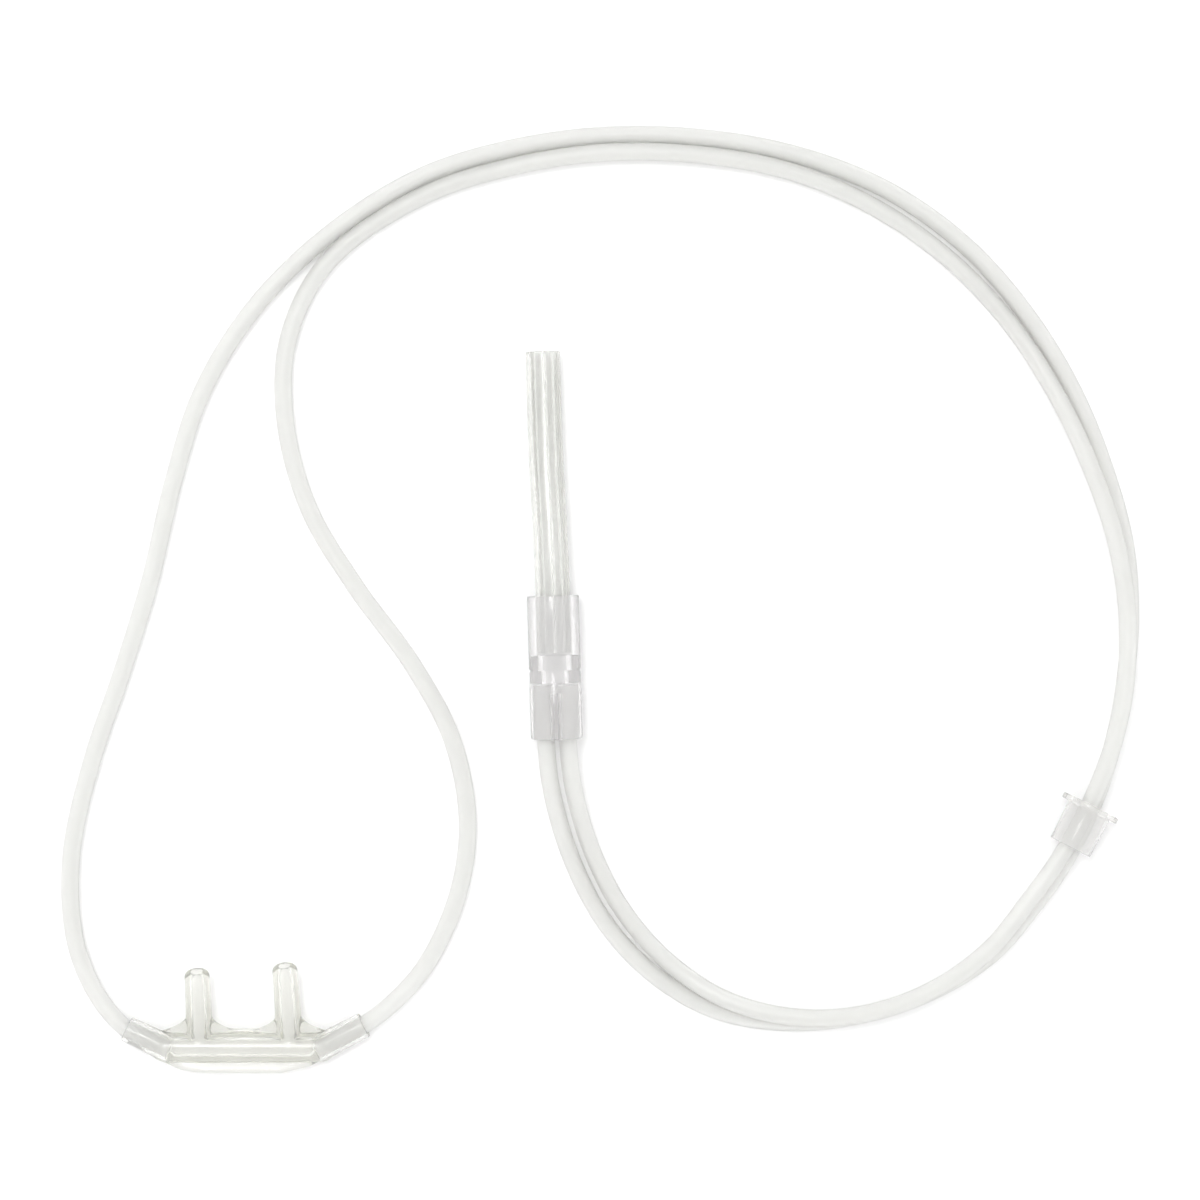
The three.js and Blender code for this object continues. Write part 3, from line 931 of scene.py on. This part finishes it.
# %% The five finishes
thin_vinyl = clear_plastic(
    "thin_clear_vinyl", drawn,
    {"Clear": (0.993, 0.993, 0.984, 1), "Cloudy": (0.985, 0.986, 0.975, 1), "Roughness": 0.3},
    milky=0.32, ior=1.42, absorbed=(0.9, 0.905, 0.82, 1), density=110.0, bump=(0.3, 0.02 * MM),
    attribute="straight",
)
wide_vinyl = clear_plastic(
    "wide_clear_vinyl", drawn,
    {"Clear": (0.992, 0.993, 0.987, 1), "Cloudy": (0.982, 0.984, 0.975, 1), "Roughness": 0.12},
    milky=0.1, ior=1.45, absorbed=(0.9, 0.905, 0.84, 1), density=130.0, bump=(0.3, 0.02 * MM),
    attribute="straight",
)
soft_moulding = clear_plastic(
    "soft_nasal_moulding", moulded,
    {"Clear": (0.996, 0.996, 0.994, 1), "Cloudy": (0.985, 0.985, 0.978, 1), "Roughness": 0.08,
     "Ripple": 0.5, "Dust": 0.15},
    milky=0.19, ior=1.36, absorbed=(0.935, 0.935, 0.85, 1), density=165.0, bump=(0.25, 0.05 * MM),
)
hard_clear = clear_plastic(
    "hard_clear_connector", moulded,
    {"Clear": (0.995, 0.992, 0.992, 1), "Cloudy": (0.982, 0.978, 0.978, 1), "Roughness": 0.06,
     "Ripple": 0.35, "Dust": 0.25},
    milky=0.22, ior=1.36, absorbed=(0.93, 0.92, 0.92, 1), density=130.0, bump=(0.2, 0.05 * MM),
)
slider_clear = clear_plastic(
    "clear_slider_plastic", moulded,
    {"Clear": (0.995, 0.992, 0.988, 1), "Cloudy": (0.982, 0.979, 0.972, 1), "Roughness": 0.08,
     "Ripple": 0.4, "Dust": 0.25},
    milky=0.22, ior=1.36, absorbed=(0.93, 0.92, 0.9, 1), density=150.0, bump=(0.2, 0.05 * MM),
)
for obj, material in (
    (left_tube, thin_vinyl), (right_tube, thin_vinyl), (supply, wide_vinyl),
    (nasal, soft_moulding), (connector, hard_clear), (slider, slider_clear),
):
    obj.data.materials.clear()
    obj.data.materials.append(material)

# %% [markdown]
# ## Table and light
# The table is plain and almost white, and lies a hair below the model, so that it doesn't
# cut the clear underside. It glows faintly, which keeps the ground of the picture white.
# One large soft light from the upper left gives the faint shadows, and a sky that is a
# little darker at the horizon draws the grey edges. A white ground could also be had from a
# transparent film, but then nothing would shine through the plastic.

# %% Table
TABLE_DROP = 0.15
TABLE_GLOW = 0.06
bm = bmesh.new()
bmesh.ops.create_grid(bm, x_segments=1, y_segments=1, size=3)
bmesh.ops.translate(bm, verts=bm.verts, vec=(0, 0, -TABLE_DROP * MM))
floor = piece_of(bm, "table_top")
white = bpy.data.materials.new("matt_white_table")
white.use_nodes = True
tree = white.node_tree
table_grain = node(tree, "ShaderNodeTexNoise", {"Scale": 900.0, "Detail": 3.0})
tree.links.new(node(tree, "ShaderNodeTexCoord").outputs["Object"], table_grain.inputs["Vector"])
table_bump = node(tree, "ShaderNodeBump",
                  {"Height": table_grain.outputs["Fac"], "Strength": 0.02, "Distance": 0.02 * MM})
shader = tree.nodes["Principled BSDF"]
shader.inputs["Base Color"].default_value = (0.92, 0.92, 0.92, 1)
shader.inputs["Roughness"].default_value = 0.9
shader.inputs["Specular IOR Level"].default_value = 0.0
shader.inputs["Emission Color"].default_value = (1, 1, 1, 1)
shader.inputs["Emission Strength"].default_value = TABLE_GLOW
tree.links.new(table_bump.outputs["Normal"], shader.inputs["Normal"])
floor.data.materials.append(white)
print("table", round(TABLE_DROP, 2), "mm below the model")

# %% [markdown]
# Light passes a dozen clear surfaces where a tube sits in a socket, and each takes a bounce.
# With the usual limits such places go black, so all four are raised. The Standard view keeps
# white white, and the exposure is a touch high, as in a catalogue picture.

# %% Sky and soft light
BOUNCES = 28
EXPOSURE = 0.13
HORIZON = 0.86
ZENITH = 1.02
scene.view_settings.view_transform = "Standard"
scene.view_settings.exposure = EXPOSURE
for kind in ("max_bounces", "transmission_bounces", "glossy_bounces", "diffuse_bounces"):
    setattr(scene.cycles, kind, BOUNCES)
world = bpy.data.worlds.new("studio")
scene.world = world
world.use_nodes = True
tree = world.node_tree
sky = tree.nodes["Background"]
upward = node(tree, "ShaderNodeSeparateXYZ",
              {"Vector": node(tree, "ShaderNodeTexCoord").outputs["Generated"]})
tone = node(tree, "ShaderNodeMapRange",
            {"Value": upward.outputs["Z"], "From Min": 0.0, "From Max": 0.7,
             "To Min": HORIZON, "To Max": ZENITH})
tree.links.new(tone.outputs["Result"], sky.inputs["Strength"])
sky.inputs["Color"].default_value = (1, 1, 1, 1)
lamp = bpy.data.objects.new("soft_light", bpy.data.lights.new("soft_light", "AREA"))
lamp.data.shape = "DISK"
lamp.data.size = 0.35
lamp.data.energy = 3.0
target = Vector((*SEEN_CENTRE, 0))
lamp.location = target + Vector((-0.18, 0.26, 1.1))
lamp.rotation_euler = (target - lamp.location).to_track_quat("-Z", "Y").to_euler()
scene.collection.objects.link(lamp)
print("soft light", [round(v, 3) for v in lamp.location], lamp.data.energy, "W")
